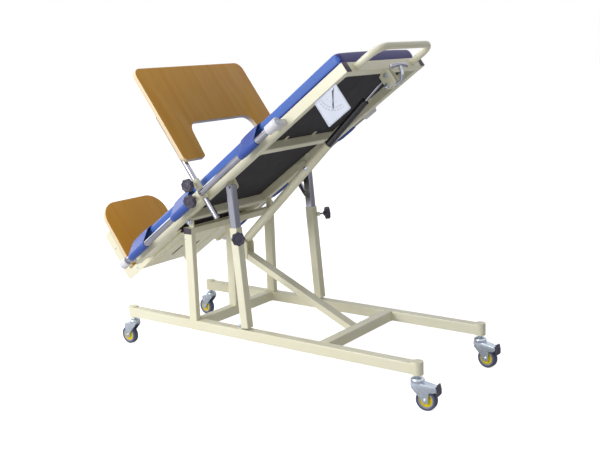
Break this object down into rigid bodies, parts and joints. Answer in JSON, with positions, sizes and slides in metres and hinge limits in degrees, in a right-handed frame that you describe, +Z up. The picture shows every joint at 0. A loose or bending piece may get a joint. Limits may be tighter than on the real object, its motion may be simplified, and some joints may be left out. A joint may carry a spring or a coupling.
{
  "type": "pediatric tilt table",
  "caption": "Pediatric tilt table: a padded bed with straps, tray and footboard, tilted by a gas strut on a wheeled frame with telescoping posts.",
  "frame": {"origin": "centre of the bounding box on the floor, with all four wheels on it", "axes": "+X along the base rails towards the head end with the push handle, +Y to the side away from the angle gauge, +Z up"},
  "size_m": [1.7088, 0.733, 1.2299],
  "materials": {
    "cream_paint": "glossy powder coat",
    "zinc_steel": "zinc plated",
    "yellow_hub": "moulded",
    "grey_rubber": "satin",
    "black_plastic": "moulded, satin",
    "chrome": "polished",
    "oiled_wood": "lacquered veneer",
    "dark_board": "painted board",
    "blue_vinyl": "grained vinyl",
    "strap_webbing": "padded vinyl strap",
    "white_plastic": "moulded",
    "strut_black": "gloss black",
    "gauge_plate": "printed plate"
  },
  "bodies": {
    "base_frame": {"base_rail_near": "cream_paint", "base_rail_far": "cream_paint", "foot_cross_and_centre_post": "cream_paint", "head_cross_and_brace": "cream_paint", "pivot_frame": "cream_paint"},
    "bed": {"bed_rail_near": "cream_paint", "bed_rail_far": "cream_paint", "head_cross_member": "cream_paint", "middle_cross_member": "cream_paint", "foot_cross_member": "cream_paint", "support_board": "dark_board", "push_handle": "cream_paint", "mattress": "blue_vinyl", "strap_foot": "strap_webbing", "strap_middle": "strap_webbing", "strap_head": "strap_webbing", "side_bar_near": "chrome", "side_bar_far": "chrome", "bar_holder_near_foot": "white_plastic", "bar_holder_near_head": "white_plastic", "bar_holder_far_foot": "white_plastic", "bar_holder_far_head": "white_plastic", "angle_gauge_plate": "gauge_plate"},
    "plumb_needle": {"gauge_needle": "black_plastic"},
    "lever": {"release_lever": "zinc_steel"},
    "strut_rod": {"piston_rod": "chrome"},
    "strut_barrel": {"gas_cylinder": "strut_black", "strut_tube": "cream_paint"},
    "tray_carriage": {"cross_clamp_near": "cream_paint", "cross_clamp_far": "cream_paint"},
    "tray": {"tray_board": "oiled_wood", "tray_rod_near": "chrome", "tray_rod_far": "chrome"},
    "footboard": {"foot_slide": "cream_paint", "footboard_panel": "oiled_wood"},
    "post_sleeve_near": {"post_outer_near": "cream_paint"},
    "post_ram_near": {"post_inner_near": "chrome"},
    "post_knob_near_body": {"post_knob_near": "black_plastic"},
    "tray_rod_knob_near_body": {"tray_rod_knob_near": "black_plastic"},
    "side_bar_knob_near_body": {"side_bar_knob_near": "black_plastic"},
    "post_sleeve_far": {"post_outer_far": "cream_paint"},
    "post_ram_far": {"post_inner_far": "chrome"},
    "post_knob_far_body": {"post_knob_far": "black_plastic"},
    "tray_rod_knob_far_body": {"tray_rod_knob_far": "black_plastic"},
    "side_bar_knob_far_body": {"side_bar_knob_far": "black_plastic"},
    "fork_near_head": {"caster_fork_near_head": "zinc_steel"},
    "wheel_near_head": {"wheel_hub_near_head": "yellow_hub", "tyre_near_head": "grey_rubber"},
    "fork_far_head": {"caster_fork_far_head": "zinc_steel"},
    "wheel_far_head": {"wheel_hub_far_head": "yellow_hub", "tyre_far_head": "grey_rubber"},
    "fork_near_foot": {"caster_fork_near_foot": "zinc_steel"},
    "wheel_near_foot": {"wheel_hub_near_foot": "yellow_hub", "tyre_near_foot": "grey_rubber"},
    "fork_far_foot": {"caster_fork_far_foot": "zinc_steel"},
    "wheel_far_foot": {"wheel_hub_far_foot": "yellow_hub", "tyre_far_foot": "grey_rubber"},
    "pedal_near_head": {"brake_pedal_near_head": "black_plastic"},
    "pedal_far_head": {"brake_pedal_far_head": "black_plastic"}
  },
  "joints": [
    {"name": "bed_tilt", "type": "hinge", "parent": "base_frame", "child": "bed", "pos_m": [-0.23095, 0, 0.5645], "axis": [0, -1, 0], "range_deg": [-36, 29]},
    {"name": "needle_swing", "type": "hinge", "parent": "bed", "child": "plumb_needle", "pos_m": [0.46988, 0, 1.08172], "axis": [0, -1, 0], "range_deg": [-29.5, 36.5]},
    {"name": "lever_pull", "type": "hinge", "parent": "bed", "child": "lever", "pos_m": [0.53333, 0, 1.07776], "axis": [0, -1, 0], "range_deg": [0, 12], "stiffness_Nm_per_rad": 2, "springref_deg": -5.73},
    {"name": "strut_swing", "type": "hinge", "parent": "bed", "child": "strut_rod", "pos_m": [0.52849, 0, 1.11503], "axis": [0, -1, 0], "range_deg": [-0.8, 0.8]},
    {"name": "strut_extend", "type": "slide", "parent": "strut_rod", "child": "strut_barrel", "axis": [-0.7202, 0, -0.6938], "range_m": [-0.086, 0.07]},
    {"name": "tray_slide", "type": "slide", "parent": "bed", "child": "tray_carriage", "axis": [0.809, 0, 0.5878], "range_m": [0, 0.22]},
    {"name": "tray_height", "type": "slide", "parent": "tray_carriage", "child": "tray", "axis": [-0.5878, 0, 0.809], "range_m": [-0.05, 0.08]},
    {"name": "footboard_slide", "type": "slide", "parent": "bed", "child": "footboard", "axis": [0.809, 0, 0.5878], "range_m": [-0.08, 0.1]},
    {"name": "post_swing_near", "type": "hinge", "parent": "base_frame", "child": "post_sleeve_near", "pos_m": [-0.00096, -0.246, 0.1762], "axis": [0, -1, 0], "range_deg": [-8.6, 7]},
    {"name": "post_extend_near", "type": "slide", "parent": "post_sleeve_near", "child": "post_ram_near", "axis": [-0.0819, 0, 0.9966], "range_m": [-0.149, 0.12]},
    {"name": "post_knob_turn_near", "type": "hinge", "parent": "post_sleeve_near", "child": "post_knob_near_body", "pos_m": [0.01347, -0.26057, 0.52756], "axis": [0.7047, -0.7071, 0.0579], "range_deg": [0, 360]},
    {"name": "tray_rod_knob_turn_near", "type": "hinge", "parent": "tray_carriage", "child": "tray_rod_knob_near_body", "pos_m": [-0.14828, -0.3013, 0.72716], "axis": [0, -1, 0], "range_deg": [0, 360]},
    {"name": "side_bar_knob_turn_near", "type": "hinge", "parent": "tray_carriage", "child": "side_bar_knob_near_body", "pos_m": [-0.13761, -0.32742, 0.6725], "axis": [0.1422, -0.9703, -0.1957], "range_deg": [0, 360]},
    {"name": "post_swing_far", "type": "hinge", "parent": "base_frame", "child": "post_sleeve_far", "pos_m": [-0.00096, 0.246, 0.1762], "axis": [0, -1, 0], "range_deg": [-8.6, 7]},
    {"name": "post_extend_far", "type": "slide", "parent": "post_sleeve_far", "child": "post_ram_far", "axis": [-0.0819, 0, 0.9966], "range_m": [-0.149, 0.12]},
    {"name": "post_knob_turn_far", "type": "hinge", "parent": "post_sleeve_far", "child": "post_knob_far_body", "pos_m": [0.01347, 0.26057, 0.52756], "axis": [0.7047, 0.7071, 0.0579], "range_deg": [0, 360]},
    {"name": "tray_rod_knob_turn_far", "type": "hinge", "parent": "tray_carriage", "child": "tray_rod_knob_far_body", "pos_m": [-0.14828, 0.3013, 0.72716], "axis": [0, 1, 0], "range_deg": [0, 360]},
    {"name": "side_bar_knob_turn_far", "type": "hinge", "parent": "tray_carriage", "child": "side_bar_knob_far_body", "pos_m": [-0.13761, 0.32742, 0.6725], "axis": [0.1422, 0.9703, -0.1957], "range_deg": [0, 360]},
    {"name": "swivel_near_head", "type": "hinge", "parent": "base_frame", "child": "fork_near_head", "pos_m": [0.77104, -0.2457, 0.1252], "axis": [0, 0, 1], "continuous": true},
    {"name": "wheel_spin_near_head", "type": "hinge", "parent": "fork_near_head", "child": "wheel_near_head", "pos_m": [0.80389, -0.24254, 0.0375], "axis": [-0.0958, 0.9954, 0], "continuous": true},
    {"name": "brake_near_head", "type": "hinge", "parent": "fork_near_head", "child": "pedal_near_head", "pos_m": [0.80091, -0.24283, 0.0867], "axis": [-0.0958, 0.9954, 0], "range_deg": [0, 7]},
    {"name": "swivel_far_head", "type": "hinge", "parent": "base_frame", "child": "fork_far_head", "pos_m": [0.77104, 0.2457, 0.1252], "axis": [0, 0, 1], "continuous": true},
    {"name": "wheel_spin_far_head", "type": "hinge", "parent": "fork_far_head", "child": "wheel_far_head", "pos_m": [0.8038, 0.24168, 0.0375], "axis": [0.1219, 0.9925, 0], "continuous": true},
    {"name": "brake_far_head", "type": "hinge", "parent": "fork_far_head", "child": "pedal_far_head", "pos_m": [0.80082, 0.24204, 0.0867], "axis": [0.1219, 0.9925, 0], "range_deg": [0, 7]},
    {"name": "swivel_near_foot", "type": "hinge", "parent": "base_frame", "child": "fork_near_foot", "pos_m": [-0.59696, -0.2457, 0.1252], "axis": [0, 0, 1], "continuous": true},
    {"name": "wheel_spin_near_foot", "type": "hinge", "parent": "fork_near_foot", "child": "wheel_near_foot", "pos_m": [-0.62996, -0.2457, 0.0375], "axis": [0, -1, 0], "continuous": true},
    {"name": "swivel_far_foot", "type": "hinge", "parent": "base_frame", "child": "fork_far_foot", "pos_m": [-0.59696, 0.2457, 0.1252], "axis": [0, 0, 1], "continuous": true},
    {"name": "wheel_spin_far_foot", "type": "hinge", "parent": "fork_far_foot", "child": "wheel_far_foot", "pos_m": [-0.62983, 0.24858, 0.0375], "axis": [-0.0872, -0.9962, 0], "continuous": true}
  ],
  "couplings": [
    {"joint": "needle_swing", "follows": "bed_tilt", "ratio": -1},
    {"joint": "strut_swing", "follows": "bed_tilt", "ratio": -0.015},
    {"joint": "strut_extend", "follows": "bed_tilt", "m_per_rad": 0.1346},
    {"joint": "post_swing_near", "follows": "bed_tilt", "ratio": 0.23},
    {"joint": "post_extend_near", "follows": "bed_tilt", "m_per_rad": 0.2349},
    {"joint": "post_swing_far", "follows": "bed_tilt", "ratio": 0.23},
    {"joint": "post_extend_far", "follows": "bed_tilt", "m_per_rad": 0.2349}
  ]
}
